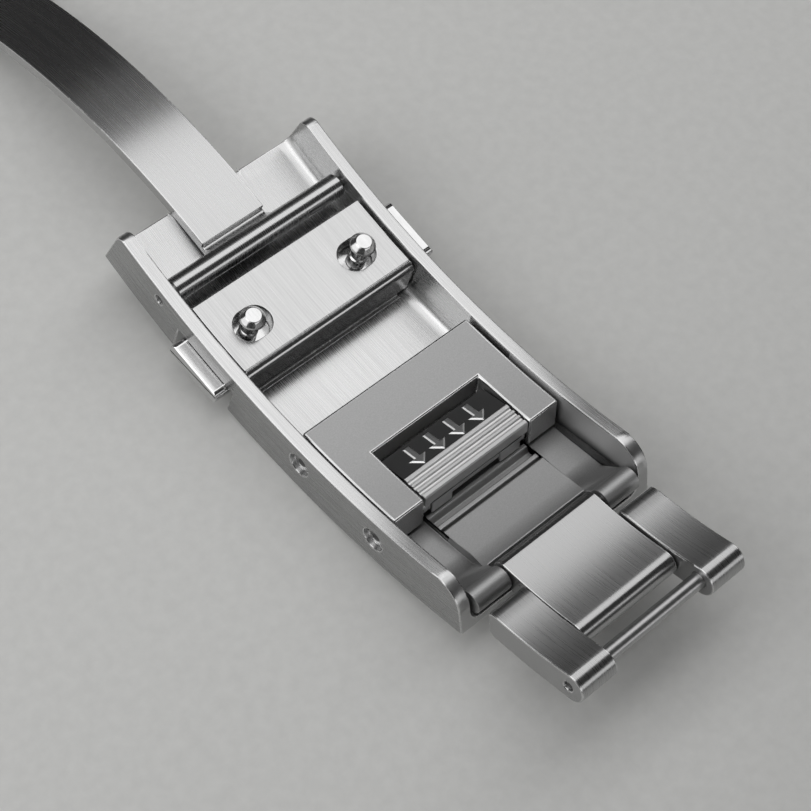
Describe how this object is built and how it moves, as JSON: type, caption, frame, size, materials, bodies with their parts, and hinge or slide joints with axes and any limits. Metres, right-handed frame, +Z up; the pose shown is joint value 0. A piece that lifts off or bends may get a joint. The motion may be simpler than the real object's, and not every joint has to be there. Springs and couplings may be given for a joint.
{
  "type": "deployant clasp",
  "caption": "Folding watch bracelet clasp with two side pushers, two locking studs, a ratchet adjuster slide with a press button, and a hinged end link.",
  "frame": {"origin": "on the table under the middle of the open clasp's whole length, with the cover lying on its curved outer face", "axes": "+X across the clasp to the right pusher, +Y from the bracelet link towards the open blades, +Z up, from the cover's outer face towards the wrist side"},
  "size_m": [0.0238, 0.1274, 0.0092],
  "materials": {
    "brushed_cover": "brushed along its length, polished corner rounds",
    "brushed_housing": "brushed along its length, polished rounded edge",
    "brushed_blade": "brushed along its length",
    "satin_link": "satin",
    "blasted_adjuster": "bead blasted with fine bright bevels",
    "button_steel": "dark blasted ramp, satin ribs",
    "polished_pusher": "polished with a fine grain",
    "polished_pin": "polished",
    "spring_wire": "bare spring steel"
  },
  "bodies": {
    "cover": {"clasp_cover": "brushed_cover", "cover_hinge_pin": "polished_pin", "latch_housing": "brushed_housing", "pusher_spring": "spring_wire", "adjuster_frame": "blasted_adjuster", "frame_pin": "polished_pin", "button_pin": "polished_pin", "button_spring": "spring_wire"},
    "first_blade": {"hinge_blade": "brushed_blade", "fold_pin": "polished_pin"},
    "second_blade": {"latch_blade": "brushed_blade", "blade_spring_bar": "polished_pin"},
    "left_push": {"left_pusher": "polished_pusher", "left_stud": "polished_pin"},
    "right_push": {"right_pusher": "polished_pusher", "right_stud": "polished_pin"},
    "button": {"release_button": "button_steel"},
    "slide": {"adjuster_slide": "blasted_adjuster", "slide_pin": "polished_pin"},
    "link_centre": {"centre_link": "satin_link"},
    "link_sides": {"left_side_link": "satin_link", "right_side_link": "satin_link", "link_pin": "polished_pin", "bracelet_bar": "polished_pin"}
  },
  "joints": [
    {"name": "blade_hinge", "type": "hinge", "parent": "cover", "child": "first_blade", "pos_m": [0, -0.01617, 0.00573], "axis": [1, 0, 0], "range_deg": [0, 178.76]},
    {"name": "fold_hinge", "type": "hinge", "parent": "first_blade", "child": "second_blade", "pos_m": [0, 0.01934, 0.0019], "axis": [-1, 0, 0], "range_deg": [0, 189.94]},
    {"name": "left_push", "type": "slide", "parent": "cover", "child": "left_push", "axis": [1, 0, 0], "range_m": [0, 0.00055], "stiffness_N_per_m": 800, "deforming": ["pusher_spring"]},
    {"name": "right_push", "type": "slide", "parent": "cover", "child": "right_push", "axis": [-1, 0, 0], "range_m": [0, 0.00055], "stiffness_N_per_m": 800, "deforming": ["pusher_spring"]},
    {"name": "button_rock", "type": "hinge", "parent": "cover", "child": "button", "pos_m": [0, -0.04257, 0.00338], "axis": [-1, 0, 0], "range_deg": [0, 6], "stiffness_Nm_per_rad": 0.02, "deforming": ["button_spring"]},
    {"name": "adjuster_slide", "type": "hinge", "parent": "cover", "child": "slide", "pos_m": [0, -0.03268, 0.07], "axis": [-1, 0, 0], "range_deg": [0, 6]},
    {"name": "link_hinge", "type": "hinge", "parent": "slide", "child": "link_centre", "pos_m": [0, -0.05179, 0.00505], "axis": [-1, 0, 0], "range_deg": [0, 40]},
    {"name": "side_hinge", "type": "hinge", "parent": "link_centre", "child": "link_sides", "pos_m": [0, -0.05805, 0.00639], "axis": [-1, 0, 0], "range_deg": [0, 25]}
  ],
  "couplings": [
    {"joint": "fold_hinge", "follows": "blade_hinge", "ratio": 1.0625}
  ]
}
